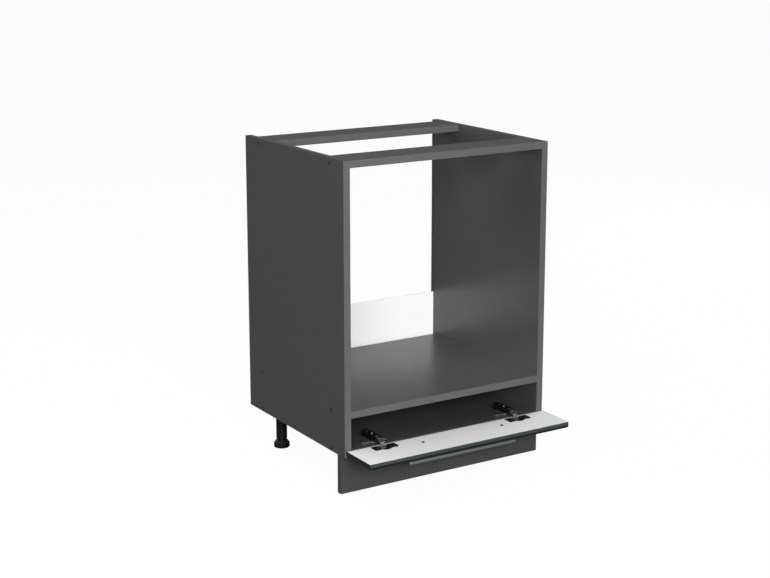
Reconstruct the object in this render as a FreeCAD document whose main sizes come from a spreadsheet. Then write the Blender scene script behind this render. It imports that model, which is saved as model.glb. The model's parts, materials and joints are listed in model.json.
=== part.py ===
import FreeCAD
import Part
import Sketcher
import math
import os
import re

# Base cabinet that carries a built-in oven: a carcass of melamine-faced board on four legs, with a low
# drop-down flap below the oven shelf. Millimetres, +Z up, front towards -Y. The origin is on the floor, in
# the middle of the plan outline with the flap lying open.

doc = FreeCAD.newDocument("OvenHousing")
sheet = doc.addObject("Spreadsheet::Sheet", "Sizes")

SIZES = (
    ("Width", 600, "carcass over both side panels"),
    ("CarcassHeight", 730, "side panels"),
    ("Depth", 500, "side panels with their edge bands"),
    ("LegHeight", 100, "floor to carcass"),
    ("Board", 18, "panel thickness"),
    ("EdgeBand", 1, "edge band thickness"),
    ("FlapSpace", 80, "clear height between bottom panel and shelf"),
    ("ShelfSetback", 22, "shelf's rear edge from the carcass rear"),
    ("RailWidth", 92, "top rails, front to back"),
    ("RearRailInset", 37, "rear rail from the carcass rear"),
    ("BackThickness", 3, "back panel"),
    ("BackInset", 8, "back panel's rear face from the carcass rear"),
    ("BackRise", 122, "back panel above the shelf"),
    ("GrooveDepth", 8, "back panel's groove in each side panel"),
    ("GrooveSlack", 0.5, "clearance of the back panel in its grooves"),
    ("HoleSlack", 0.2, "clearance of a fastener in its hole"),
    ("CarcassScrewInset", 65, "front carcass screws from the carcass front"),
    ("CarcassScrewRearInset", 72, "rear carcass screws from the carcass rear"),
    ("RailScrewDrop", 4, "carcass screws of the rails, below the rail's middle"),
    ("CarcassScrewRadius", 2.5, "shank"),
    ("CarcassScrewLength", 47, "below the head"),
    ("CarcassScrewHeadRadius", 5, "head"),
    ("CarcassScrewHead", 2.5, "head height, sunk flush"),
    ("DowelRadius", 4, "rail dowels"),
    ("DowelLength", 30, "rail dowels"),
    ("DowelDepth", 12, "dowel's share in the side panel"),
    ("DowelPitch", 38, "dowel from its carcass screw"),
    ("NailRadius", 1, "back panel nails"),
    ("NailLength", 20, "below the head"),
    ("NailHeadRadius", 2.5, "head"),
    ("NailHead", 0.8, "head height"),
    ("NailInset", 60, "outer nails from the side panels"),
    ("ShortScrewRadius", 1.75, "short screws of legs, clips and hinges"),
    ("ShortScrewLength", 14, "below the head"),
    ("ShortScrewHeadRadius", 3.5, "head"),
    ("ShortScrewHead", 2, "head height"),
    ("LegSideInset", 44, "leg axis from the side panel's outer face"),
    ("LegRearInset", 92.5, "rear leg axis from the carcass rear"),
    ("LegPlate", 60, "square flange plate of a leg"),
    ("LegPlateThickness", 4, "flange plate"),
    ("LegScrewPitch", 44, "between the screws of a flange plate, side to side"),
    ("LegScrewSpan", 28, "between the screws of a flange plate, front to back"),
    ("SocketRadius", 14.5, "leg tube outside"),
    ("SocketRoof", 2, "left above the tube's bore"),
    ("FootRadius", 12, "foot's stem"),
    ("FootSlack", 0.05, "running clearance of stem and tube"),
    ("FootInsert", 40, "stem inside the tube"),
    ("DiscRadius", 21, "foot's disc"),
    ("DiscHeight", 12, "foot's disc"),
    ("DiscChamfer", 1.5, "under the disc"),
    ("ShoulderHeight", 8, "slope between disc and stem"),
    ("FootGap", 4.5, "foot's slope below the tube's mouth"),
    (
        "SocketLength",
        "=LegHeight - LegPlateThickness - DiscHeight - ShoulderHeight - FootGap",
        "leg tube below its plate",
    ),
    ("PlinthRecess", 21, "plinth board behind the carcass front"),
    ("PlinthThickness", 16, "plinth board"),
    ("PlinthGap", 1, "plinth board to floor and carcass"),
    ("PlinthEndGap", 0.5, "plinth board short of each side panel's outer face"),
    ("ClipReach", 32, "front leg axis behind the plinth board"),
    ("ClipPlate", 3, "clip's plate thickness"),
    ("ClipWidth", 44, "clip's plate"),
    ("ClipHeight", 20, "clip's plate"),
    ("ClipWall", 3, "clip's ring"),
    ("ClipSlack", 0.1, "clip's ring on the leg tube"),
    ("ClipMouth", 9, "ring's mouth behind the leg axis"),
    ("ClipNeck", 16, "neck between plate and ring"),
    ("ClipScrewPitch", 32, "between the screws of a clip"),
    ("FlapHeight", 109, "flap, hinge edge to free edge"),
    ("FlapThickness", 16, "flap with its skin"),
    ("FlapEndGap", 2, "flap short of each side panel's outer face"),
    ("FlapGap", 4, "closed flap to the carcass front"),
    ("FlapOverlay", 17, "closed flap below the bottom panel's top"),
    ("FlapOpenGap", 5, "open flap's hinge edge to the carcass front"),
    ("FlapRise", 0.7, "open flap's inner face above the bottom panel"),
    ("SkinThickness", 0.8, "gloss skin over the flap's face and edges"),
    ("SkinRound", 5, "rounding of the skin's outer edges"),
    ("HandleShift", 16, "handle's middle right of the flap's middle"),
    ("HandlePitch", 240, "between the handle's screws"),
    ("HandleLength", 322, "handle bar"),
    ("HandleRadius", 6, "handle bar"),
    ("HandleReach", 30.2, "handle bar's axis from the flap's face"),
    ("HandleInset", 42, "handle's screws from the flap's hinge edge"),
    ("PostRadius", 4.5, "handle posts"),
    ("HandleScrewRadius", 2, "shank"),
    ("HandleScrewLength", 27, "below the head"),
    ("HandleScrewHeadRadius", 3.5, "head"),
    ("HandleScrewHead", 2.2, "head height"),
    ("HingeInset", 98, "each hinge from the cabinet's side"),
    ("CupInset", 20.5, "cup's middle from the flap's hinge edge"),
    ("CupRadius", 17.5, "cup"),
    ("CupDepth", 11.5, "cup below the flap's inner face"),
    ("CupWall", 0.8, "cup's wall and floor"),
    ("CupSlack", 0.1, "cup in its bore"),
    ("FlangeLength", 66, "cup's flange, along the flap"),
    ("FlangeWidth", 24, "cup's flange"),
    ("FlangeThickness", 2, "cup's flange"),
    ("CupScrewPitch", 48, "between the screws of a cup"),
    ("CupScrewOffset", 5, "cup's screws from its middle, away from the hinge edge"),
    ("PinRadius", 0.9, "hinge pins"),
    ("PinSlack", 0.05, "running clearance of links on their pins"),
    ("UpperPinBack", 3, "upper arm pin behind the carcass front"),
    ("UpperPinHeight", 14, "upper arm pin above the bottom panel"),
    ("UpperPinDepth", 6.5, "upper link's cup pin below the flap's inner face"),
    ("LowerPinBack", 9, "lower arm pin behind the carcass front"),
    ("LowerPinHeight", 8.5, "lower arm pin above the bottom panel"),
    ("LowerPinDepth", 2.2, "lower link's cup pin below the flap's inner face"),
    ("LinkThickness", 2.4, "links seen from the side"),
    ("EyeRadius", 2.2, "links' ends round their pins"),
    ("UpperLinkWidth", 11, "upper link"),
    ("EarThickness", 1.3, "upper link's side ears"),
    ("WebThickness", 1, "upper link's web between its ears"),
    ("UpperKneeOut", 13.5, "upper link's first knee before the carcass front"),
    ("UpperKneeHeight", 10, "upper link's first knee above the bottom panel"),
    ("NeckKneeOut", 15.6, "upper link's second knee before the carcass front"),
    ("NeckKneeHeight", 0, "upper link's second knee above the bottom panel"),
    ("LowerLinkWidth", 6.4, "lower link"),
    ("LowerKneeOut", 10.8, "lower link's knee before the carcass front"),
    ("LowerKneeHeight", 5.5, "lower link's knee above the bottom panel"),
    ("OpenPinSlack", 0.95, "clearance of the lower link's open end over its cup pin"),
    ("ArmWidth", 15, "hinge arm outside"),
    ("ArmWall", 1.5, "hinge arm's sheet"),
    ("ArmHeight", 18.5, "hinge arm's top above the bottom panel"),
    ("ArmFloor", 3.5, "hinge arm's lower edge above the bottom panel"),
    ("ArmLength", 72, "hinge arm back from the carcass front"),
    ("ArmMouth", 16, "arm's top open over the links, back from the carcass front"),
    ("ArmScrewInset", 36, "arm's first screw behind the carcass front"),
    ("ArmScrewPitch", 20, "between the screws of an arm"),
    ("ArmScrewRadius", 2.5, "shank"),
    ("ArmScrewLength", 10, "below the head"),
    ("ArmScrewHeadRadius", 3.5, "head"),
    ("ArmScrewHead", 1.5, "head height"),
    ("PlateThickness", 2, "mounting plate's wings"),
    ("WingFront", 24, "wings behind the carcass front"),
    ("WingWidth", 16, "wings, front to back"),
    ("WingSpan", 70, "wings from end to end"),
    ("PlateScrewPitch", 56, "between the screws of a mounting plate"),
    ("SpineFront", 18, "mounting plate's spine behind the carcass front"),
    ("SpineLength", 48, "mounting plate's spine"),
    ("SpineSlack", 0.3, "spine inside the arm"),
)
for row, (alias, size, meaning) in enumerate(SIZES, 1):
    sheet.set(f"A{row}", meaning)
    sheet.set(f"B{row}", str(size))
    sheet.setAlias(f"B{row}", alias)

NAILS = 4
SIDES = (("left", -1), ("right", 1))
TOUCH = 1e-6

# Derived places, as formulas of the cells
FRONT = "((FlapOpenGap + FlapHeight - Depth) / 2)"
REAR = f"({FRONT} + Depth)"
HALF = "(Width / 2)"
INSIDE = "(Width / 2 - Board)"
FLOOR = "LegHeight"
TOP = "(LegHeight + CarcassHeight)"
DECK = "(LegHeight + Board)"
SHELF = f"({DECK} + FlapSpace)"
NICHE = f"({SHELF} + Board)"
RAIL = f"({TOP} - Board)"
BACK = f"({REAR} - BackInset - BackThickness)"
REAR_RAIL = f"({REAR} - RearRailInset - RailWidth)"
LEAF = f"({DECK} + FlapRise)"
LEAF_UNDER = f"({LEAF} - FlapThickness)"
LEAF_EDGE = f"({FRONT} - FlapOpenGap)"
PLINTH_REAR = f"({FRONT} + PlinthRecess + PlinthThickness)"
FRONT_LEG = f"({PLINTH_REAR} + ClipReach)"
REAR_LEG = f"({REAR} - LegRearInset)"
HINGE = "(Width / 2 - HingeInset)"
SOCKET_MOUTH = "(LegHeight - LegPlateThickness - SocketLength)"

WORD = re.compile(r"\b(" + "|".join(alias for alias, size, meaning in SIZES) + r")\b")
ALONG = {
    "x": FreeCAD.Rotation(FreeCAD.Vector(0, 1, 0), 90),
    "y": FreeCAD.Rotation(FreeCAD.Vector(1, 0, 0), -90),
    "z": FreeCAD.Rotation(),
}
nodes = []


def bind(item, prop, formula):
    item.setExpression(prop, WORD.sub(r"Sizes.\1", formula))


def place(item, spot, turn=FreeCAD.Rotation()):
    item.Placement = FreeCAD.Placement(FreeCAD.Vector(), turn)
    for axis, formula in zip("xyz", spot):
        bind(item, f"Placement.Base.{axis}", formula)


def node(label, item):
    """Name a finished sub-part and keep it for the export."""
    item.Label = label
    nodes.append(item)
    return item


def box(x, y, z):
    """Box between the low and the high formula of each axis."""
    item = doc.addObject("Part::Box", "Box")
    for prop, (low, high) in zip(("Length", "Width", "Height"), (x, y, z)):
        bind(item, prop, f"({high}) - ({low})")
    place(item, (x[0], y[0], z[0]))
    return item


def rod(axis, radius, spot, length):
    """Cylinder that runs from its low end along an axis."""
    item = doc.addObject("Part::Cylinder", "Rod")
    bind(item, "Radius", radius)
    bind(item, "Height", length)
    place(item, spot, ALONG[axis])
    return item


def group(items):
    item = doc.addObject("Part::Compound", "Group")
    item.Links = items
    return item


def join(*items):
    item = doc.addObject("Part::MultiFuse", "Joined")
    item.Shapes = items
    return item


def cut(base, *tools):
    for tool in tools:
        item = doc.addObject("Part::Cut", "Shaped")
        item.Base = base
        item.Tool = tool
        base = item
    return base


def common(first, second):
    item = doc.addObject("Part::Common", "Trimmed")
    item.Base = first
    item.Tool = second
    return item


def fastener(kind, axis, way, seat, slack="0"):
    """Screw or nail driven along an axis from the seat of its head; slack makes it its own hole."""
    index = "xyz".index(axis)
    length = f"({kind}Length + {slack})"
    height = f"({kind}Head + {slack})"
    shank = list(seat)
    head = list(seat)
    if way > 0:
        head[index] = f"{seat[index]} - {height}"
    else:
        shank[index] = f"{seat[index]} - {length}"
    return join(
        rod(axis, f"{kind}Radius + {slack}", shank, length),
        rod(axis, f"{kind}HeadRadius + {slack}", head, height),
    )


def fasteners(label, kind, axis, seats):
    """One node of like fasteners, given as (way, seat), and the holes that they need."""
    node(label, group([fastener(kind, axis, way, seat) for way, seat in seats]))
    return group([fastener(kind, axis, way, seat, "HoleSlack") for way, seat in seats])


def outline(body, plane, corners):
    """Closed sketch whose corners are bound to (across, up) formulas, measured from the body's origin."""
    sketch = body.newObject("Sketcher::SketchObject", "Outline")
    support = next(item for item in body.Origin.OriginFeatures if item.Role == plane)
    sketch.AttachmentSupport = [(support, "")]
    sketch.MapMode = "FlatFace"
    count = len(corners)
    turns = [2 * math.pi * step / count for step in range(count)]
    start = [FreeCAD.Vector(math.cos(turn), math.sin(turn), 0) for turn in turns]
    for step in range(count):
        sketch.addGeometry(Part.LineSegment(start[step - 1], start[step]), False)
    for step, (across, up) in enumerate(corners):
        sketch.addConstraint(Sketcher.Constraint("Coincident", step, 2, (step + 1) % count, 1))
        for kind, guess, formula in (("DistanceX", start[step].x, across), ("DistanceY", start[step].y, up)):
            number = sketch.addConstraint(Sketcher.Constraint(kind, -1, 1, step, 2, guess))
            bind(sketch, f"Constraints[{number}]", formula)
    return sketch


def plate_along_x(corners, width):
    """Side outline in (y, z), padded to both sides of x = 0."""
    body = doc.addObject("PartDesign::Body", "Body")
    pad = body.newObject("PartDesign::Pad", "Pad")
    pad.Profile = outline(body, "YZ_Plane", corners)
    pad.SideType = "Symmetric"
    bind(pad, "Length", width)
    return body


def turned(corners):
    """Half outline in (radius, z), turned about the z axis."""
    body = doc.addObject("PartDesign::Body", "Body")
    sketch = outline(body, "XZ_Plane", corners)
    turn = body.newObject("PartDesign::Revolution", "Turn")
    turn.Profile = sketch
    turn.ReferenceAxis = (sketch, ["V_Axis"])
    return body


def rounded_slab(x, y, z, radius):
    """Block whose four lower edges are rounded."""
    body = doc.addObject("PartDesign::Body", "Body")
    pad = body.newObject("PartDesign::Pad", "Pad")
    pad.Profile = outline(body, "XY_Plane", [(x[0], y[0]), (x[1], y[0]), (x[1], y[1]), (x[0], y[1])])
    bind(pad, "Length", f"({z[1]}) - ({z[0]})")
    doc.recompute()
    low = [f"Edge{number}" for number, edge in enumerate(pad.Shape.Edges, 1) if edge.BoundBox.ZMax < TOUCH]
    fillet = body.newObject("PartDesign::Fillet", "Rounding")
    fillet.Base = (pad, low)
    bind(fillet, "Radius", radius)
    place(body, ("0", "0", z[0]))
    return body


def mirrored(way, low, high):
    """The range low..high right of the middle, or its mirror image on the left."""
    if way > 0:
        return (low, high)
    return (f"-({high})", f"-({low})")


# Carcass screws, driven through the side panels into bottom panel, shelf and rails, one at each end
screw_rows = (f"{FRONT} + CarcassScrewInset", f"{REAR} - CarcassScrewRearInset")
carcass_seats = []
for side, way in SIDES:
    for level, drop in ((FLOOR, "0"), (SHELF, "0"), (RAIL, "RailScrewDrop")):
        for depth in screw_rows:
            seat = (f"{way} * ({HALF} - CarcassScrewHead)", depth, f"{level} + Board / 2 - {drop}")
            carcass_seats.append((-way, seat))
carcass_holes = fasteners("carcass_screws", "CarcassScrew", "x", carcass_seats)

# Dowels beside the screws of the rails
dowels = []
dowel_holes = []
for side, way in SIDES:
    for depth in screw_rows:
        for pegs, slack in ((dowels, "0"), (dowel_holes, "HoleSlack")):
            low = f"{INSIDE} + DowelDepth - DowelLength - {slack}"
            high = f"{INSIDE} + DowelDepth + {slack}"
            spot = (mirrored(way, low, high)[0], f"{depth} - DowelPitch", f"{RAIL} + Board / 2")
            pegs.append(rod("x", f"DowelRadius + {slack}", spot, f"DowelLength + 2 * {slack}"))
node("rail_dowels", group(dowels))
rail_holes = group(dowel_holes)

# Nails that hold the back panel to the bottom panel's rear edge
nail_seats = []
for number in range(NAILS):
    across = f"-{INSIDE} + NailInset + {number} * 2 * ({INSIDE} - NailInset) / {NAILS - 1}"
    nail_seats.append((-1, (across, f"{BACK} + BackThickness", f"{FLOOR} + Board / 2")))
nail_holes = fasteners("back_panel_nails", "Nail", "y", nail_seats)

# Legs: a flange plate and tube screwed under the bottom panel
legs = [
    (f"{end}_{side}", f"{way} * ({HALF} - LegSideInset)", depth)
    for end, depth in (("front", FRONT_LEG), ("rear", REAR_LEG))
    for side, way in SIDES
]
leg_seats = []
for name, across, depth in legs:
    for right in (-1, 1):
        for behind in (-1, 1):
            seat = (
                f"{across} + {right} * LegScrewPitch / 2",
                f"{depth} + {behind} * LegScrewSpan / 2",
                f"{FLOOR} - LegPlateThickness",
            )
            leg_seats.append((1, seat))
leg_holes = fasteners("leg_screws", "ShortScrew", "z", leg_seats)
for name, across, depth in legs:
    plate = box(
        (f"{across} - LegPlate / 2", f"{across} + LegPlate / 2"),
        (f"{depth} - LegPlate / 2", f"{depth} + LegPlate / 2"),
        (f"{FLOOR} - LegPlateThickness", FLOOR),
    )
    socket = rod("z", "SocketRadius", (across, depth, SOCKET_MOUTH), "SocketLength + LegPlateThickness / 2")
    bore_height = "SocketLength + LegPlateThickness - SocketRoof"
    bore = rod("z", "FootRadius + FootSlack", (across, depth, SOCKET_MOUTH), bore_height)
    node(f"{name}_leg", cut(join(plate, socket), bore, leg_holes))

# Feet: a stem that slides in the tube, on a disc whose slope rises to the tube's width
for name, across, depth in legs:
    foot = turned([
        ("0", "0"),
        ("DiscRadius - DiscChamfer", "0"),
        ("DiscRadius", "DiscChamfer"),
        ("DiscRadius", "DiscHeight"),
        ("SocketRadius", "DiscHeight + ShoulderHeight"),
        ("FootRadius", "DiscHeight + ShoulderHeight"),
        ("FootRadius", f"{SOCKET_MOUTH} + FootInsert"),
        ("0", f"{SOCKET_MOUTH} + FootInsert"),
    ])
    place(foot, (across, depth, "0"))
    node(f"{name}_foot", foot)

# Plinth board, hung on the front legs by two clips
clip_level = f"({SOCKET_MOUTH} + SocketLength / 2)"
clip_seats = []
for name, across, depth in legs[:2]:
    for right in (-1, 1):
        seat = (f"{across} + {right} * ClipScrewPitch / 2", f"{PLINTH_REAR} + ClipPlate", clip_level)
        clip_seats.append((-1, seat))
clip_holes = fasteners("plinth_clip_screws", "ShortScrew", "y", clip_seats)
plinth = box(
    (f"PlinthEndGap - {HALF}", f"{HALF} - PlinthEndGap"),
    (f"{FRONT} + PlinthRecess", PLINTH_REAR),
    ("PlinthGap", f"{FLOOR} - PlinthGap"),
)
node("plinth_board", cut(plinth, clip_holes))
for name, across, depth in legs[:2]:
    level = (f"{clip_level} - ClipHeight / 2", f"{clip_level} + ClipHeight / 2")
    plate = box(
        (f"{across} - ClipWidth / 2", f"{across} + ClipWidth / 2"),
        (PLINTH_REAR, f"{PLINTH_REAR} + ClipPlate"),
        level,
    )
    neck = box(
        (f"{across} - ClipNeck / 2", f"{across} + ClipNeck / 2"),
        (f"{PLINTH_REAR} + ClipPlate / 2", depth),
        level,
    )
    ring = rod("z", "SocketRadius + ClipSlack + ClipWall", (across, depth, level[0]), "ClipHeight")
    hollow = rod("z", "SocketRadius + ClipSlack", (across, depth, level[0]), "ClipHeight")
    mouth = box(
        (f"{across} - ClipWidth", f"{across} + ClipWidth"),
        (f"{depth} + ClipMouth", f"{depth} + ClipMouth + ClipWidth"),
        level,
    )
    node(f"{name}_plinth_clip", cut(join(plate, neck, ring), hollow, mouth, clip_holes))

# Hinge plates screwed to the bottom panel: two wings and a spine that carries the arm
plate_seats = []
for side, way in SIDES:
    for right in (-1, 1):
        seat = (
            f"{way} * {HINGE} + {right} * PlateScrewPitch / 2",
            f"{FRONT} + WingFront + WingWidth / 2",
            f"{DECK} + PlateThickness",
        )
        plate_seats.append((-1, seat))
plate_holes = fasteners("hinge_plate_screws", "ShortScrew", "z", plate_seats)
arm_seats = []
for side, way in SIDES:
    for inset in ("ArmScrewInset", "ArmScrewInset + ArmScrewPitch"):
        arm_seats.append((-1, (f"{way} * {HINGE}", f"{FRONT} + {inset}", f"{DECK} + ArmHeight")))
arm_holes = fasteners("hinge_arm_screws", "ArmScrew", "z", arm_seats)
for side, way in SIDES:
    across = f"{way} * {HINGE}"
    wings = box(
        (f"{across} - WingSpan / 2", f"{across} + WingSpan / 2"),
        (f"{FRONT} + WingFront", f"{FRONT} + WingFront + WingWidth"),
        (DECK, f"{DECK} + PlateThickness"),
    )
    spine_half = "(ArmWidth / 2 - ArmWall - SpineSlack)"
    spine = box(
        (f"{across} - {spine_half}", f"{across} + {spine_half}"),
        (f"{FRONT} + SpineFront", f"{FRONT} + SpineFront + SpineLength"),
        (DECK, f"{DECK} + ArmHeight - ArmWall"),
    )
    node(f"{side}_hinge_plate", cut(join(wings, spine), plate_holes, arm_holes))

# Carcass panels with their front edge bands
for side, way in SIDES:
    thick = mirrored(way, INSIDE, HALF)
    board = box(thick, (f"{FRONT} + EdgeBand", REAR), (FLOOR, TOP))
    groove = box(
        mirrored(way, INSIDE, f"{INSIDE} + GrooveDepth"),
        (f"{BACK} - GrooveSlack", f"{BACK} + BackThickness + GrooveSlack"),
        (FLOOR, TOP),
    )
    node(f"{side}_side_panel", cut(board, groove, carcass_holes, rail_holes))
    node(f"{side}_side_edge_band", box(thick, (FRONT, f"{FRONT} + EdgeBand"), (FLOOR, TOP)))
between = (f"-{INSIDE}", INSIDE)
panels = (
    ("bottom_panel", "bottom_edge_band", FRONT, BACK, FLOOR, (nail_holes, leg_holes, plate_holes)),
    ("oven_shelf", "shelf_edge_band", FRONT, f"{REAR} - ShelfSetback", SHELF, ()),
    ("front_rail", "front_rail_edge_band", FRONT, f"{FRONT} + RailWidth", RAIL, (rail_holes,)),
    ("rear_rail", "rear_rail_edge_band", REAR_RAIL, f"{REAR_RAIL} + RailWidth", RAIL, (rail_holes,)),
)
for label, band, near, far, level, holes in panels:
    thick = (level, f"{level} + Board")
    board = box(between, (f"{near} + EdgeBand", far), thick)
    node(label, cut(board, carcass_holes, *holes))
    node(band, box(between, (near, f"{near} + EdgeBand"), thick))
back_half = f"{INSIDE} + GrooveDepth - GrooveSlack"
back = box((f"-({back_half})", back_half), (BACK, f"{BACK} + BackThickness"), (FLOOR, f"{NICHE} + BackRise"))
node("back_panel", cut(back, nail_holes))


# Cup hinges. Places are (out, up), measured from the carcass front and the bottom panel's top, with the
# flap open. The flap turns a quarter turn about the pole between its open and its closed place. Each cup pin
# is set so that it is as far from its arm pin when the flap is closed as when it is open.
def hinge_point(out, up):
    return (f"{FRONT} - ({out})", f"{DECK} + {up}")


def cup_pin(back, height, depth):
    pole_out = "((FlapRise + FlapGap + FlapOpenGap + FlapOverlay) / 2)"
    pole_up = "((FlapRise + FlapGap - FlapOpenGap - FlapOverlay) / 2)"
    out = f"(-{back} - {pole_out})"
    up = f"({height} - {pole_up})"
    drop = f"(FlapRise - {depth})"
    return (f"({pole_out} + ({drop} - {pole_up}) * ({out} + {up}) / ({up} - {out}))", drop)


def cross_rod(across, point, radius, width):
    """Rod along x, centred on a hinge point."""
    return rod("x", radius, (f"{across} - ({width}) / 2", *hinge_point(*point)), width)


UPPER_ARM = ("-UpperPinBack", "UpperPinHeight")
LOWER_ARM = ("-LowerPinBack", "LowerPinHeight")
UPPER_CUP = cup_pin("UpperPinBack", "UpperPinHeight", "UpperPinDepth")
LOWER_CUP = cup_pin("LowerPinBack", "LowerPinHeight", "LowerPinDepth")
LINK_HALF = "(LinkThickness / 2)"


def offset(point, out, up):
    """A hinge point moved by multiples of half a link's thickness."""
    return hinge_point(f"{point[0]} + {out} * {LINK_HALF}", f"{point[1]} + {up} * {LINK_HALF}")


def upper_link(across):
    """Cranked U-shaped link: two ears round the pins, with a web on their outer side."""
    knee = ("UpperKneeOut", "UpperKneeHeight")
    neck = ("NeckKneeOut", "NeckKneeHeight")
    plate = plate_along_x([
        offset(UPPER_ARM, 0, 1),
        offset(knee, 1, 1),
        offset(neck, 1, 0),
        offset(UPPER_CUP, 1, 0),
        offset(UPPER_CUP, -1, 0),
        offset(neck, -1, 0),
        offset(knee, -1, -1),
        offset(UPPER_ARM, 0, -1),
    ], "UpperLinkWidth")
    web = f"({LINK_HALF} - WebThickness)"
    beyond = "(2 * EyeRadius)"
    between_ears = "UpperLinkWidth - 2 * EarThickness"
    slot = plate_along_x([
        hinge_point(f"{UPPER_ARM[0]} - {beyond}", f"{UPPER_ARM[1]} + {web}"),
        hinge_point(UPPER_ARM[0], f"{UPPER_ARM[1]} + {web}"),
        hinge_point(f"{knee[0]} + {web}", f"{knee[1]} + {web}"),
        hinge_point(f"{neck[0]} + {web}", neck[1]),
        hinge_point(f"{UPPER_CUP[0]} + {web}", UPPER_CUP[1]),
        hinge_point(f"{UPPER_CUP[0]} + {web}", f"{UPPER_CUP[1]} - {beyond}"),
        hinge_point(f"{UPPER_ARM[0]} - {beyond}", f"{UPPER_CUP[1]} - {beyond}"),
    ], between_ears)
    for item in (plate, slot):
        place(item, (across, "0", "0"))
    pins = (UPPER_ARM, UPPER_CUP)
    eyes = [cross_rod(across, pin, "EyeRadius", "UpperLinkWidth") for pin in pins]
    bores = [cross_rod(across, pin, "PinRadius + PinSlack", "2 * UpperLinkWidth") for pin in pins]
    notch = cross_rod(across, UPPER_ARM, beyond, between_ears)
    return cut(join(plate, *eyes), slot, notch, *bores)


def lower_link(across):
    """Cranked plate between the ears, with an eye at the arm and a hollowed end that clears its cup pin."""
    knee = ("LowerKneeOut", "LowerKneeHeight")
    plate = plate_along_x([
        offset(LOWER_ARM, 0, 1),
        offset(knee, 1, 1),
        offset(LOWER_CUP, 1, 0),
        offset(LOWER_CUP, -1, 0),
        offset(knee, -1, -1),
        offset(LOWER_ARM, 0, -1),
    ], "LowerLinkWidth")
    place(plate, (across, "0", "0"))
    eye = cross_rod(across, LOWER_ARM, "EyeRadius", "LowerLinkWidth")
    bore = cross_rod(across, LOWER_ARM, "PinRadius + PinSlack", "2 * LowerLinkWidth")
    room = "(PinRadius + OpenPinSlack)"
    hollow = cross_rod(across, LOWER_CUP, room, "2 * LowerLinkWidth")
    middle = hinge_point(*LOWER_CUP)
    mouth = box(
        (f"{across} - LowerLinkWidth", f"{across} + LowerLinkWidth"),
        (middle[0], f"{middle[0]} + 2 * EyeRadius"),
        (f"{middle[1]} - {room}", f"{middle[1]} + {room}"),
    )
    return cut(join(plate, eye), bore, hollow, mouth)


cup_row = f"({LEAF_EDGE} - CupInset)"
cup_seats = []
arm_pins = []
cup_pins = []
cup_bores = []
for side, way in SIDES:
    across = f"({way} * {HINGE})"
    floor = f"{LEAF} - CupDepth"
    for right in (-1, 1):
        row = f"{cup_row} - CupScrewOffset"
        cup_seats.append((-1, (f"{across} + {right} * CupScrewPitch / 2", row, f"{LEAF} + FlangeThickness")))
    for pin in (UPPER_ARM, LOWER_ARM):
        arm_pins.append(cross_rod(across, pin, "PinRadius", "ArmWidth"))
    rim = rod("z", "CupRadius - CupWall / 2", (across, cup_row, floor), "CupDepth")
    for pin in (UPPER_CUP, LOWER_CUP):
        cup_pins.append(common(cross_rod(across, pin, "PinRadius", "2 * CupRadius"), rim))
    spot = (across, cup_row, f"{floor} - CupSlack")
    cup_bores.append(rod("z", "CupRadius + CupSlack", spot, "CupDepth + 2 * CupSlack"))
node("hinge_arm_pins", group(arm_pins))
node("hinge_cup_pins", group(cup_pins))
cup_holes = fasteners("hinge_cup_screws", "ShortScrew", "z", cup_seats)

for side, way in SIDES:
    across = f"({way} * {HINGE})"
    outer = "ArmWidth / 2"
    inner = "(ArmWidth / 2 - ArmWall)"
    length = (FRONT, f"{FRONT} + ArmLength")
    low = f"{DECK} + ArmFloor"
    shell = box((f"{across} - {outer}", f"{across} + {outer}"), length, (low, f"{DECK} + ArmHeight"))
    roof = f"{DECK} + ArmHeight - ArmWall"
    between = (f"{across} - {inner}", f"{across} + {inner}")
    channel = box(between, length, (low, roof))
    mouth = box(between, (FRONT, f"{FRONT} + ArmMouth"), (roof, f"{DECK} + ArmHeight"))
    node(f"{side}_hinge_arm", cut(shell, channel, mouth, arm_holes, *arm_pins))
    node(f"{side}_upper_link", upper_link(across))
    node(f"{side}_lower_link", lower_link(across))
    can = rod("z", "CupRadius", (across, cup_row, f"{LEAF} - CupDepth"), "CupDepth")
    flange = box(
        (f"{across} - FlangeLength / 2", f"{across} + FlangeLength / 2"),
        (f"{cup_row} - FlangeWidth / 2", f"{cup_row} + FlangeWidth / 2"),
        (LEAF, f"{LEAF} + FlangeThickness"),
    )
    inside = rod(
        "z",
        "CupRadius - CupWall",
        (across, cup_row, f"{LEAF} - CupDepth + CupWall"),
        "CupDepth + FlangeThickness",
    )
    node(f"{side}_hinge_cup", cut(join(can, flange), inside, cup_holes, *cup_pins))

# Flap: a core board with a white inner face, and a gloss skin wrapped over its face and edges
handle_spots = [
    (f"HandleShift + {right} * HandlePitch / 2", f"{LEAF_EDGE} - HandleInset") for right in (-1, 1)
]
handle_holes = fasteners("handle_screws", "HandleScrew", "z", [(-1, (*spot, LEAF)) for spot in handle_spots])
flap_half = f"{HALF} - FlapEndGap"
skin = rounded_slab(
    (f"-({flap_half})", flap_half),
    (f"{LEAF_EDGE} - FlapHeight", LEAF_EDGE),
    (LEAF_UNDER, LEAF),
    "SkinRound",
)
core = rounded_slab(
    (f"SkinThickness - ({flap_half})", f"{flap_half} - SkinThickness"),
    (f"{LEAF_EDGE} - FlapHeight + SkinThickness", f"{LEAF_EDGE} - SkinThickness"),
    (f"{LEAF_UNDER} + SkinThickness", LEAF),
    "SkinRound - SkinThickness",
)
node("flap_core", cut(core, *cup_bores, cup_holes, handle_holes))
node("flap_skin", cut(skin, core, handle_holes))

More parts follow.
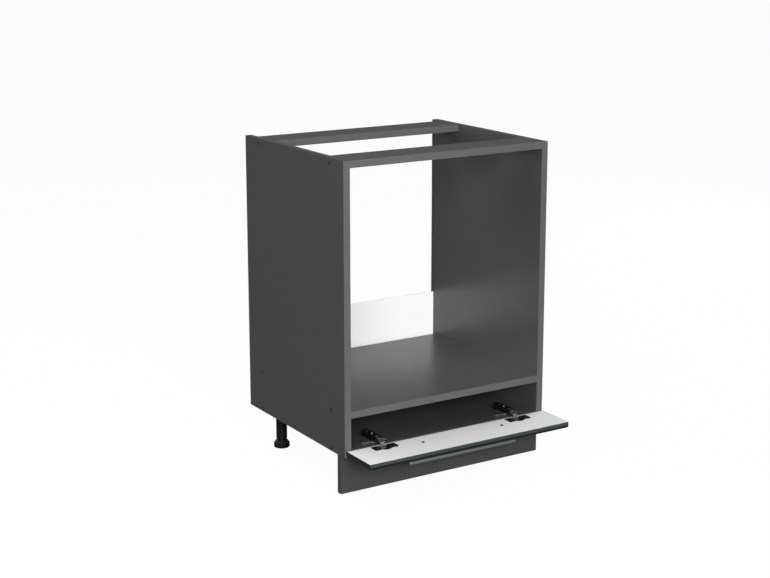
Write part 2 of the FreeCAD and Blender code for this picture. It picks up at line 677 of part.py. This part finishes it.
# Handle: a round bar on two posts, screwed on from the flap's inner face
bar_spot = (
    "HandleShift - HandleLength / 2",
    handle_spots[0][1],
    f"{LEAF_UNDER} - HandleReach",
)
bar = node("handle_bar", rod("x", "HandleRadius", bar_spot, "HandleLength"))
for (side, way), (across, depth) in zip(SIDES, handle_spots):
    post = rod("z", "PostRadius", (across, depth, bar_spot[2]), "HandleReach")
    node(f"{side}_handle_post", cut(post, bar, handle_holes))

doc.recompute()
for item in doc.Objects:
    if "Invalid" in item.State or "Error" in item.State:
        raise RuntimeError(f"{item.Name} ({item.TypeId}) failed: {item.State}")
for item in nodes:
    if item.Shape.isNull() or not item.Shape.isValid() or not item.Shape.Solids:
        raise RuntimeError(f"{item.Label} has no valid solid")
os.makedirs("parts", exist_ok=True)
for item in nodes:
    item.Shape.exportStep(f"parts/{item.Label}.step")
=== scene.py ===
import json
import math

import bmesh
import bpy
from mathutils import Matrix, Vector

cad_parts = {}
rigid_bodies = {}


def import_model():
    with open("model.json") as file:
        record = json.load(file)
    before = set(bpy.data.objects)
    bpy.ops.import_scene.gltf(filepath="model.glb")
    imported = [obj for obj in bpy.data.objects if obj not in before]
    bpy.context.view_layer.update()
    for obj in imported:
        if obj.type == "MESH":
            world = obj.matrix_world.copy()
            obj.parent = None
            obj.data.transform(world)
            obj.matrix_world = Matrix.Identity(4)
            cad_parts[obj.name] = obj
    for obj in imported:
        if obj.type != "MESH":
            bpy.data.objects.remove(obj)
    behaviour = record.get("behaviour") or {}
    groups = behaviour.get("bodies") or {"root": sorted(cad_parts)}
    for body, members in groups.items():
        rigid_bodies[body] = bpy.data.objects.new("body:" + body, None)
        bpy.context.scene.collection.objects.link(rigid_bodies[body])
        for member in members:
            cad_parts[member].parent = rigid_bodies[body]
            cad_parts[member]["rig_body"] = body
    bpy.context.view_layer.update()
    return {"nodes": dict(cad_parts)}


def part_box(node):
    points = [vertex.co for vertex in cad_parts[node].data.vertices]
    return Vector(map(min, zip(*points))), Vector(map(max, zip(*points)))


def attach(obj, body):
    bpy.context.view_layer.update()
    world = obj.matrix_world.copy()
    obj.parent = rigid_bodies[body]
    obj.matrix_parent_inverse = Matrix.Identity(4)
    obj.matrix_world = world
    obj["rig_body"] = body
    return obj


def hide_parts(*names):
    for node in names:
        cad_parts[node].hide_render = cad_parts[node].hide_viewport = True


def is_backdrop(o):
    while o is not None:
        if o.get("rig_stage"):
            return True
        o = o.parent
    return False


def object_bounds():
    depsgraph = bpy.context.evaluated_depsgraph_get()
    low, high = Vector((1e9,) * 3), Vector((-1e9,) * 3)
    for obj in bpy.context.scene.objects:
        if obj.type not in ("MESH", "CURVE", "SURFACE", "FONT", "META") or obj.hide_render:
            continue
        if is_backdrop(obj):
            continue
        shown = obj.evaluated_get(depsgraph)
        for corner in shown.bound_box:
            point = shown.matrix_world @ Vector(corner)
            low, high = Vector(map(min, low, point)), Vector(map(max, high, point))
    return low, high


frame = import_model()
nodes = frame["nodes"]


# Carcass boards: two sides, bottom, oven shelf and two top rails of 18 mm particle board, screwed together.
# The faces are graphite melamine paper with a fine pearl emboss, and the cut arrises are lightly eased.
# All lengths are in metres, and each pair of tones is a material's darkest and lightest colour.
class Socket:
    """An output of a material's nodes. Arithmetic on it adds Math nodes."""

    def __init__(self, tree, output):
        self.tree = tree
        self.output = output

    def node(self, kind, settings, inputs, output=0):
        """Another node of the same material: its settings, then the values or links of its inputs."""
        made = self.tree.nodes.new("ShaderNode" + kind)
        for name, value in settings.items():
            setattr(made, name, value)
        for place, value in inputs.items():
            if isinstance(value, Socket):
                self.tree.links.new(value.output, made.inputs[place])
            else:
                made.inputs[place].default_value = value
        return Socket(self.tree, made.outputs[output])

    def math(self, operation, first, second):
        """A Math node on two values or sockets."""
        return self.node("Math", {"operation": operation}, {0: first, 1: second})

    def __add__(self, other):
        return self.math("ADD", self, other)

    def __radd__(self, other):
        return self.math("ADD", other, self)

    def __sub__(self, other):
        return self.math("SUBTRACT", self, other)

    def __rsub__(self, other):
        return self.math("SUBTRACT", other, self)

    def __mul__(self, other):
        return self.math("MULTIPLY", self, other)

    def __rmul__(self, other):
        return self.math("MULTIPLY", other, self)

    def noise(self, scale, detail):
        """Noise over these coordinates, from 0 to 1."""
        return self.node("TexNoise", {}, {"Vector": self, "Scale": scale, "Detail": detail})

    def stretched(self, x, y, z):
        """These coordinates with each axis multiplied."""
        return self.node("VectorMath", {"operation": "MULTIPLY"}, {0: self, 1: (x, y, z)})

    def between(self, low, high):
        """A colour from low to high as this value goes from 0 to 1."""
        factor, first_colour, second_colour, mixed_colour = 0, 6, 7, 2
        inputs = {factor: self, first_colour: (*low, 1), second_colour: (*high, 1)}
        return self.node("Mix", {"data_type": "RGBA"}, inputs, mixed_colour)

    def bump(self, depth, strength):
        """A normal that stands this height, in metres, out of the surface."""
        return self.node("Bump", {}, {"Strength": strength, "Distance": depth, "Height": self}, "Normal")


def new_material(name, **settings):
    """A material with those values on its shader, and the coordinates of the piece that wears it."""
    material = bpy.data.materials.new(name)
    material.use_nodes = True
    shader = material.node_tree.nodes["Principled BSDF"]
    for place, value in settings.items():
        shader.inputs[place.replace("_", " ")].default_value = value
    places = material.node_tree.nodes.new("ShaderNodeTexCoord")
    return material, Socket(material.node_tree, places.outputs["Object"])


def dress(material, **sockets):
    """Links those sockets to the material's shader."""
    shader = material.node_tree.nodes["Principled BSDF"]
    for place, socket in sockets.items():
        material.node_tree.links.new(socket.output, shader.inputs[place.replace("_", " ")])


def take(piece):
    """Selects one object alone and makes it active."""
    bpy.ops.object.select_all(action="DESELECT")
    piece.select_set(True)
    bpy.context.view_layer.objects.active = piece


def blank(node):
    """A copy of a CAD node's mesh, merged into closed shells with whole flat faces."""
    piece = bpy.data.objects.new(node + "_eased", nodes[node].data.copy())
    bpy.context.scene.collection.objects.link(piece)
    piece.data.materials.clear()
    take(piece)
    bpy.ops.object.mode_set(mode="EDIT")
    bpy.ops.mesh.select_all(action="SELECT")
    bpy.ops.mesh.remove_doubles(threshold=1e-6)
    bpy.ops.mesh.dissolve_limited(angle_limit=math.radians(0.5))
    bpy.ops.object.mode_set(mode="OBJECT")
    return piece


def smoothed(piece):
    """Shades the rounded edges smooth and leaves the flat faces flat."""
    take(piece)
    bpy.ops.object.shade_smooth_by_angle(angle=math.radians(40))
    bpy.ops.object.modifier_add(type="WEIGHTED_NORMAL")
    piece.modifiers[-1].keep_sharp = True
    piece.modifiers[-1].weight = 100
    bpy.ops.object.modifier_apply(modifier=piece.modifiers[-1].name)


def broken(piece, radius):
    """Rounds the piece's sharp edges."""
    take(piece)
    bpy.ops.object.mode_set(mode="EDIT")
    bpy.ops.mesh.select_mode(type="EDGE")
    bpy.ops.mesh.select_all(action="DESELECT")
    bpy.ops.mesh.edges_select_sharp(sharpness=math.radians(30))
    bpy.ops.mesh.bevel(offset=radius, segments=2, affect="EDGES", clamp_overlap=True)
    bpy.ops.object.mode_set(mode="OBJECT")


def fitted(piece, node, material):
    """Finishes a piece in its material and sets it in the place of its CAD node."""
    smoothed(piece)
    piece.data.materials.append(material)
    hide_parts(node)
    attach(piece, nodes[node]["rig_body"])
    return piece


def eased(node, radius, material):
    """A CAD node's own shape with its sharp edges rounded."""
    piece = blank(node)
    broken(piece, radius)
    return fitted(piece, node, material)


graphite = (0.050, 0.050, 0.0505), (0.066, 0.066, 0.0665)
board_arris = 0.0003
melamine, places = new_material("graphite_melamine", Specular_IOR_Level=0.5)
cloud = places.noise(scale=5.0, detail=3.0)
pearl = places.noise(scale=1300.0, detail=2.0)
dress(
    melamine,
    Base_Color=(0.3 * cloud + 0.7 * pearl).between(*graphite),
    Roughness=0.27 + 0.10 * places.noise(scale=60.0, detail=4.0),
    Normal=pearl.bump(depth=0.000006, strength=0.6),
)
for board in ("left_side_panel", "right_side_panel", "bottom_panel", "oven_shelf", "front_rail", "rear_rail"):
    eased(board, board_arris, melamine)


# Edge bands: 1 mm plastic strip, a shade lighter than the boards, ironed on the front edges.
# The strip has a fine embossed grain, and its corners are scraped round.
band_grey = (0.088, 0.089, 0.090), (0.112, 0.113, 0.114)
band_arris = 0.0004
banding, places = new_material("edge_band_plastic", Specular_IOR_Level=0.3)
cloud = places.noise(scale=9.0, detail=3.0)
emboss = places.noise(scale=700.0, detail=2.0)
dress(
    banding,
    Base_Color=(0.7 * cloud + 0.3 * emboss).between(*band_grey),
    Roughness=0.36 + 0.12 * places.noise(scale=80.0, detail=3.0),
    Normal=emboss.bump(depth=0.00003, strength=0.5),
)
for board in ("left_side", "right_side", "bottom", "shelf", "front_rail", "rear_rail"):
    eased(board + "_edge_band", band_arris, banding)


# Rail dowels: turned beech pins with chamfered ends, hidden in the rails' ends.
# They are glued, part in the rail and part in the side, and keep the rails from turning.
beech_brown = (0.50, 0.33, 0.19), (0.66, 0.47, 0.29)
dowel_arris = 0.0004
beech, places = new_material("beech", Specular_IOR_Level=0.3)
grain = places.stretched(x=0.08, y=1.0, z=1.0).noise(scale=900.0, detail=4.0)
dress(
    beech,
    Base_Color=grain.between(*beech_brown),
    Roughness=0.55 + 0.15 * grain,
    Normal=grain.bump(depth=0.0001, strength=0.5),
)
eased("rail_dowels", dowel_arris, beech)


# Carcass screws: burnished steel connecting screws through the sides into the boards' ends.
# Their flat heads are sunk flush with the sides' outer faces and have a hexagon socket for a key.
def pick(piece, test):
    """In edit mode, selects the faces whose normal passes the test."""
    bpy.ops.mesh.select_mode(type="FACE")
    bpy.ops.mesh.select_all(action="DESELECT")
    mesh = bmesh.from_edit_mesh(piece.data)
    for face in mesh.faces:
        face.select_set(test(face.normal))
    bmesh.update_edit_mesh(piece.data)


def carved(piece, tool, spots):
    """Cuts a copy of the tool out of the piece at each spot."""
    copies = []
    for spot in spots:
        copy = bpy.data.objects.new(tool.name + "_copy", tool.data.copy())
        bpy.context.scene.collection.objects.link(copy)
        copy.data.transform(spot)
        copies.append(copy)
    take(copies[0])
    for copy in copies:
        copy.select_set(True)
    bpy.ops.object.join()
    take(piece)
    bpy.ops.object.modifier_add(type="BOOLEAN")
    piece.modifiers[-1].object = copies[0]
    bpy.ops.object.modifier_apply(modifier=piece.modifiers[-1].name)
    bpy.data.objects.remove(copies[0])


def heads(screws, way):
    """The heads of the screws that face that way, as placements in their middles with z pointing out."""
    squarely = 0.99
    smallest_area = 1e-5
    side_depth = 0.05  # the undersides and tips of the screws that face the other way lie deeper
    way = Vector(way)
    turn = way.to_track_quat("Z", "Y").to_matrix().to_4x4()
    facing = [face for face in screws.data.polygons if face.normal.dot(way) > squarely]
    flats = [face.center for face in facing if face.area > smallest_area]
    deepest = max(middle.dot(way) for middle in flats) - side_depth
    return [Matrix.Translation(middle) @ turn for middle in flats if middle.dot(way) > deepest]


soot = (0.05, 0.05, 0.052), (0.11, 0.11, 0.112)
screw_arris = 0.0003
key_radius = 0.0023
key_length = 0.0030
key_point = 0.0006
key_point_taper = 0.3
burnished, places = new_material("burnished_steel", Metallic=1.0)
stain = places.noise(scale=900.0, detail=3.0)
dress(
    burnished,
    Base_Color=stain.between(*soot),
    Roughness=0.32 + 0.2 * stain,
    Normal=stain.bump(depth=0.00003, strength=0.5),
)
bpy.ops.mesh.primitive_cylinder_add(vertices=6, radius=key_radius, depth=key_length)
hex_key = bpy.context.object
bpy.ops.object.mode_set(mode="EDIT")
pick(hex_key, lambda normal: normal.z < -0.9)
bpy.ops.mesh.extrude_region_move(TRANSFORM_OT_translate={"value": (0, 0, -key_point)})
bpy.ops.transform.resize(value=(key_point_taper, key_point_taper, 1))
bpy.ops.object.mode_set(mode="OBJECT")
screws = blank("carcass_screws")
broken(screws, screw_arris)
carved(screws, hex_key, heads(screws, (-1, 0, 0)) + heads(screws, (1, 0, 0)))
fitted(screws, "carcass_screws", burnished)
bpy.data.objects.remove(hex_key)


# Back panel: 3 mm hardboard, lacquered white on its face and left as bare brown fibre behind.
# It slides down in the sides' grooves and is nailed to the bottom panel's rear edge.
def second_finish(piece, material, test):
    """Gives the faces that pass the test another material."""
    piece.data.materials.append(material)
    for face in piece.data.polygons:
        face.material_index = int(test(face))


lacquer_white = (0.90, 0.90, 0.895), (0.93, 0.93, 0.925)
fibre_brown = (0.17, 0.095, 0.05), (0.30, 0.18, 0.10)
back_arris = 0.0002
lacquer, places = new_material("white_lacquer", Specular_IOR_Level=0.4)
peel = places.noise(scale=420.0, detail=2.0)
dress(
    lacquer,
    Base_Color=places.noise(scale=7.0, detail=3.0).between(*lacquer_white),
    Roughness=0.30 + 0.1 * peel,
    Normal=peel.bump(depth=0.00003, strength=0.5),
)
hardboard, places = new_material("bare_hardboard", Specular_IOR_Level=0.2)
cloud = places.noise(scale=30.0, detail=4.0)
fibres = places.noise(scale=900.0, detail=6.0)
dress(
    hardboard,
    Base_Color=(0.5 * fibres + 0.5 * cloud).between(*fibre_brown),
    Roughness=0.7 + 0.2 * fibres,
    Normal=fibres.bump(depth=0.0001, strength=0.6),
)
back = eased("back_panel", back_arris, lacquer)
second_finish(back, hardboard, lambda face: face.normal.y > 0.5)


# Small fasteners: the back panel's nails, and the cross-recessed screws of legs, clips, hinges and handle.
# All are steel. Nails, leg screws, clip screws and the arms' front screws are zinc plated.
# The arms' rear screws and all the others are burnished dark.
def cross_headed(fixing, way, finish):
    """The screws of one fixing, with a cross recess in each head."""
    screws = blank(fixing)
    broken(screws, small_arris)
    carved(screws, cross_bit, heads(screws, way))
    return fitted(screws, fixing, finish)


zinc_grey = (0.52, 0.53, 0.55), (0.68, 0.69, 0.70)
small_arris = 0.0002
cross_width = 0.0010
cross_arm = 0.0016
cross_stretch = 2.4
cross_taper = 0.4
zinc, places = new_material("zinc_plate", Metallic=1.0)
blush = places.noise(scale=700.0, detail=3.0)
dress(
    zinc,
    Base_Color=blush.between(*zinc_grey),
    Roughness=0.24 + 0.2 * blush,
    Normal=blush.bump(depth=0.00003, strength=0.4),
)
eased("back_panel_nails", small_arris, zinc)
bpy.ops.mesh.primitive_cube_add(size=cross_width)
cross_bit = bpy.context.object
bpy.ops.object.mode_set(mode="EDIT")
pick(cross_bit, lambda normal: abs(normal.z) < 0.5)
bpy.ops.mesh.extrude_faces_move(TRANSFORM_OT_shrink_fatten={"value": cross_arm})
bpy.ops.mesh.select_all(action="SELECT")
bpy.ops.transform.resize(value=(1, 1, cross_stretch))
pick(cross_bit, lambda normal: normal.z < -0.9)
bpy.ops.transform.resize(value=(cross_taper, cross_taper, 1))
bpy.ops.object.mode_set(mode="OBJECT")
cross_headed("leg_screws", (0, 0, -1), zinc)
cross_headed("plinth_clip_screws", (0, 1, 0), zinc)
arm_screws = cross_headed("hinge_arm_screws", (0, 0, 1), zinc)
arm_middle = sum(Vector(place).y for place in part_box("left_hinge_arm")) / 2
second_finish(arm_screws, burnished, lambda face: face.center.y > arm_middle)
for fixing in ("hinge_plate_screws", "hinge_cup_screws", "handle_screws"):
    cross_headed(fixing, (0, 0, 1), burnished)
bpy.data.objects.remove(cross_bit)


# Legs and feet: black polypropylene, moulded with a fine spark texture and screwed under the bottom panel.
# Each foot slides in its leg's tube. Its disc has six finger notches, for turning it by hand.
jet = (0.005, 0.005, 0.005), (0.008, 0.008, 0.008)
leg_arris = 0.0005
foot_arris = 0.0006
notches = 6
first_notch_degrees = 15
notch_radius = 0.0045
notch_length = 0.026
notch_height = 0.010
notch_circle = 0.0235
moulded, places = new_material("black_polypropylene", Specular_IOR_Level=0.2)
spark = places.noise(scale=1600.0, detail=3.0)
dress(
    moulded,
    Base_Color=places.noise(scale=40.0, detail=3.0).between(*jet),
    Roughness=0.40 + 0.2 * spark,
    Normal=spark.bump(depth=0.00008, strength=0.6),
)
bpy.ops.mesh.primitive_cylinder_add(vertices=24, radius=notch_radius, depth=notch_length)
notch = bpy.context.object
angles = [math.radians(360 / notches * turn + first_notch_degrees) for turn in range(notches)]
ring = [Matrix.Rotation(angle, 4, "Z") @ Matrix.Translation((notch_circle, 0, 0)) for angle in angles]
for corner in ("front_left", "front_right", "rear_left", "rear_right"):
    eased(corner + "_leg", leg_arris, moulded)
    foot = blank(corner + "_foot")
    low, high = (Vector(place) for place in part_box(corner + "_foot"))
    middle = Matrix.Translation(((low.x + high.x) / 2, (low.y + high.y) / 2, notch_height))
    carved(foot, notch, [middle @ spot for spot in ring])
    broken(foot, foot_arris)
    fitted(foot, corner + "_foot", moulded)
bpy.data.objects.remove(notch)


# Plinth board: 16 mm melamine board that closes the gap to the floor.
# Two moulded plastic clips are screwed to its rear face and snap round the front legs.
kick_grey = (0.048, 0.048, 0.048), (0.062, 0.062, 0.062)
plinth_arris = 0.0004
kick, places = new_material("plinth_melamine", Specular_IOR_Level=0.22)
cloud = places.noise(scale=6.0, detail=3.0)
pearl = places.noise(scale=1300.0, detail=2.0)
dress(
    kick,
    Base_Color=(0.6 * cloud + 0.4 * pearl).between(*kick_grey),
    Roughness=0.36 + 0.14 * places.noise(scale=60.0, detail=4.0),
    Normal=pearl.bump(depth=0.00003, strength=0.6),
)
eased("plinth_board", plinth_arris, kick)
for side in ("left", "right"):
    eased("front_" + side + "_plinth_clip", plinth_arris, moulded)


# Hinge mounting plates, links and pins: pressed and cut from steel, nickel plated.
# The plates are screwed to the bottom panel. The links turn on riveted pins between arm and cup.
nickel_grey = (0.40, 0.40, 0.40), (0.50, 0.50, 0.49)
plate_arris = 0.0003
link_arris = 0.0002
pin_arris = 0.0001
nickel, places = new_material("nickel_plate", Metallic=1.0)
drawn = places.stretched(x=1.0, y=0.2, z=1.0).noise(scale=1100.0, detail=3.0)
dress(
    nickel,
    Base_Color=drawn.between(*nickel_grey),
    Roughness=0.38 + 0.12 * drawn,
    Normal=drawn.bump(depth=0.000008, strength=0.4),
)
for side in ("left", "right"):
    eased(side + "_hinge_plate", plate_arris, nickel)
    eased(side + "_upper_link", link_arris, nickel)
    eased(side + "_lower_link", link_arris, nickel)
eased("hinge_arm_pins", pin_arris, nickel)
eased("hinge_cup_pins", pin_arris, nickel)


# Hinge arms and cups: pressed from steel sheet, black plated.
# Each arm is clamped on its plate by two screws, and each cup is let into the flap and screwed on.
plate_black = (0.010, 0.010, 0.011), (0.022, 0.022, 0.023)
sheet_arris = 0.0003
ear_radius = 0.0032
shortest_edge = 0.001
touching = 1e-5
blacked, places = new_material("black_plate", Metallic=0.6, Specular_IOR_Level=0.5)
film = places.noise(scale=900.0, detail=3.0)
dress(
    blacked,
    Base_Color=film.between(*plate_black),
    Roughness=0.26 + 0.2 * film,
    Normal=film.bump(depth=0.00003, strength=0.5),
)
for side in ("left", "right"):
    arm = blank(side + "_hinge_arm")
    low, high = (Vector(place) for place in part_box(side + "_hinge_arm"))
    bpy.ops.object.mode_set(mode="EDIT")
    bpy.ops.mesh.select_mode(type="EDGE")
    bpy.ops.mesh.select_all(action="DESELECT")
    mesh = bmesh.from_edit_mesh(arm.data)
    for edge in mesh.edges:
        ends = [corner.co for corner in edge.verts]
        crosswise = abs(ends[0].x - ends[1].x) > shortest_edge
        at_front = all(end.y < low.y + touching for end in ends)
        at_top = all(end.z > high.z - touching for end in ends)
        edge.select_set(crosswise and at_front and at_top)
    bmesh.update_edit_mesh(arm.data)
    bpy.ops.mesh.bevel(offset=ear_radius, segments=6, affect="EDGES", clamp_overlap=True)
    bpy.ops.object.mode_set(mode="OBJECT")
    broken(arm, sheet_arris)
    fitted(arm, side + "_hinge_arm", blacked)
    eased(side + "_hinge_cup", sheet_arris, blacked)


# Flap: fibreboard with a pale melamine inner face, bored for the hinge cups and the handle's screws.
# One dark high-gloss foil is wrapped over its face and its rounded edges.
# Along the free edge, the flat band next to the inner face is coloured a lighter grey: painted reflection of
# the lit floor in front of it.
def foil(name, tones, roughness, spread):
    """A gloss foil with a faint orange peel, its roughness rising from the first value by the spread."""
    material, places = new_material(name, Specular_IOR_Level=0.4)
    dress(
        material,
        Base_Color=places.noise(scale=5.0, detail=3.0).between(*tones),
        Roughness=roughness + spread * places.noise(scale=50.0, detail=3.0),
        Normal=places.noise(scale=160.0, detail=2.0).bump(depth=0.00004, strength=0.4),
    )
    return material


pale_grey = (0.765, 0.77, 0.77), (0.815, 0.82, 0.82)
foil_dark = (0.0065, 0.0105, 0.0115), (0.0095, 0.0145, 0.016)
# Painted reflection: lighter tones for the free edge's flat band, standing in for the floor that the flat
# mirrors.
painted_reflection_tones = (0.038, 0.049, 0.051), (0.047, 0.058, 0.060)
core_arris = 0.0002
skin_arris = 0.0001
painted_reflection_start = 0.0078
pale, places = new_material("pale_melamine", Specular_IOR_Level=0.3)
cloud = places.noise(scale=6.0, detail=3.0)
pearl = places.noise(scale=1300.0, detail=2.0)
dress(
    pale,
    Base_Color=(0.6 * cloud + 0.4 * pearl).between(*pale_grey),
    Roughness=0.40 + 0.12 * places.noise(scale=60.0, detail=3.0),
    Normal=pearl.bump(depth=0.00003, strength=0.5),
)
eased("flap_core", core_arris, pale)
gloss_foil = foil("gloss_foil", foil_dark, roughness=0.12, spread=0.06)
painted_reflection_foil = foil("painted_reflection_foil", painted_reflection_tones, roughness=0.16, spread=0.08)
skin = blank("flap_skin")
painted_reflection_line = Vector(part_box("flap_skin")[0]).z + painted_reflection_start
bpy.ops.object.mode_set(mode="EDIT")
bpy.ops.mesh.select_all(action="SELECT")
bpy.ops.mesh.bisect(plane_co=(0, 0, painted_reflection_line), plane_no=(0, 0, 1))
bpy.ops.object.mode_set(mode="OBJECT")
broken(skin, skin_arris)
fitted(skin, "flap_skin", gloss_foil)
# The free edge's flat band above the line gets the painted reflection; the rounding below keeps the dark
# foil.
second_finish(skin, painted_reflection_foil, lambda face: face.center.z > painted_reflection_line and face.normal.y < -0.7)


# Handle: a drawn bar with a satin finish, fixed to two turned posts.
# It is screwed on through the flap from the inner face.
satin_grey = (0.62, 0.635, 0.635), (0.76, 0.775, 0.775)
bar_arris = 0.0008
post_arris = 0.0003
satin, places = new_material("satin_metal", Metallic=1.0)
brushed = places.stretched(x=0.03, y=1.0, z=1.0).noise(scale=2200.0, detail=4.0)
dress(
    satin,
    Base_Color=brushed.between(*satin_grey),
    Roughness=0.30 + 0.16 * brushed,
    Normal=brushed.bump(depth=0.00003, strength=0.5),
)
eased("handle_bar", bar_arris, satin)
for side in ("left", "right"):
    eased(side + "_handle_post", post_arris, satin)


# Studio: a wide paper floor, a sky that is lighter overhead, and four soft lamps.
# Floor and sky show white to the camera, and light the cabinet as a grey room would.
white = (1, 1, 1, 1)
paper_tones = (0.12, 0.12, 0.12), (0.97, 0.97, 0.97)
floor_size = 160
floor_glow = 0.955
mirrored_share = 0.05
sky_grey = 0.06
sky_rise = 0.30


def shown_rays(tree):
    """In a floor or sky material, the camera's rays, and the share of all rays that see plain white."""
    rays = tree.nodes.new("ShaderNodeLightPath")
    kinds = ("Is Camera Ray", "Is Glossy Ray", "Is Transmission Ray")
    camera_ray, glossy_ray, through_ray = (Socket(tree, rays.outputs[kind]) for kind in kinds)
    return camera_ray, camera_ray + mirrored_share * glossy_ray + through_ray


bpy.ops.mesh.primitive_plane_add(size=floor_size, location=(0, 0, 0))
floor = bpy.context.object
floor.name = "studio_floor"
paper, _ = new_material("studio_paper", Roughness=0.9, Specular_IOR_Level=0.0)
camera_ray, seen = shown_rays(paper.node_tree)
dress(paper, Base_Color=camera_ray.between(*paper_tones))
glow = seen.node("Emission", {}, {"Color": white, "Strength": 1.0})
surface = Socket(paper.node_tree, paper.node_tree.nodes["Principled BSDF"].outputs[0])
mixed = seen.node("MixShader", {}, {0: floor_glow * seen, 1: surface, 2: glow})
paper.node_tree.links.new(mixed.output, paper.node_tree.nodes["Material Output"].inputs["Surface"])
floor.data.materials.append(paper)
floor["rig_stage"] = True

world = bpy.data.worlds.new("studio_sky")
world.use_nodes = True
sky = world.node_tree.nodes["Background"]
sky.inputs["Color"].default_value = white
ways = world.node_tree.nodes.new("ShaderNodeTexCoord")
way = Socket(world.node_tree, ways.outputs["Generated"])
up = way.node("SeparateXYZ", {}, {0: way}, "Z")
grey = sky_grey + sky_rise * up.math("MAXIMUM", up, 0)
_, seen = shown_rays(world.node_tree)
world.node_tree.links.new((grey + seen * (1 - grey)).output, sky.inputs["Strength"])
bpy.context.scene.world = world


def softbox(name, place, target, width, height, watts):
    """A rectangular area lamp at a place, facing a target."""
    bpy.ops.object.light_add(type="AREA", location=place)
    lamp = bpy.context.object
    lamp.name = name
    lamp.data.shape = "RECTANGLE"
    lamp.data.size = width
    lamp.data.size_y = height
    lamp.data.energy = watts
    lamp.rotation_euler = (Vector(target) - Vector(place)).to_track_quat("-Z", "Y").to_euler()


softbox("front_softbox", (-1.7, -4.2, 1.7), target=(0, 0, 0.4), width=3.4, height=1.6, watts=272)
softbox("top_softbox", (-1.3, -0.5, 2.6), target=(0, 0, 0.5), width=2.0, height=2.0, watts=26)
softbox("rear_softbox", (-2.4, 3.2, 2.2), target=(0, 0, 0.4), width=2.0, height=1.4, watts=44)
softbox("right_softbox", (3.8, 1.2, 1.5), target=(0, 0, 0.4), width=2.0, height=1.4, watts=48)


# Camera: the photograph's viewpoint, from the front left and a little above.
# The lens is shifted a little, as a product photographer keeps the uprights upright.
viewpoint = (-2.101961, -3.258188, 1.405334)
degrees_down = 12.495
degrees_right = 32.013
bpy.ops.object.camera_add(location=viewpoint)
camera = bpy.context.object
camera.rotation_euler = (math.radians(90 - degrees_down), 0, math.radians(-degrees_right))
camera.data.sensor_width = 36
camera.data.lens = 72.272
camera.data.shift_y = -0.05
camera.data.clip_end = 300
bpy.context.scene.camera = camera
bpy.context.scene.view_settings.view_transform = "Standard"

low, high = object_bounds()
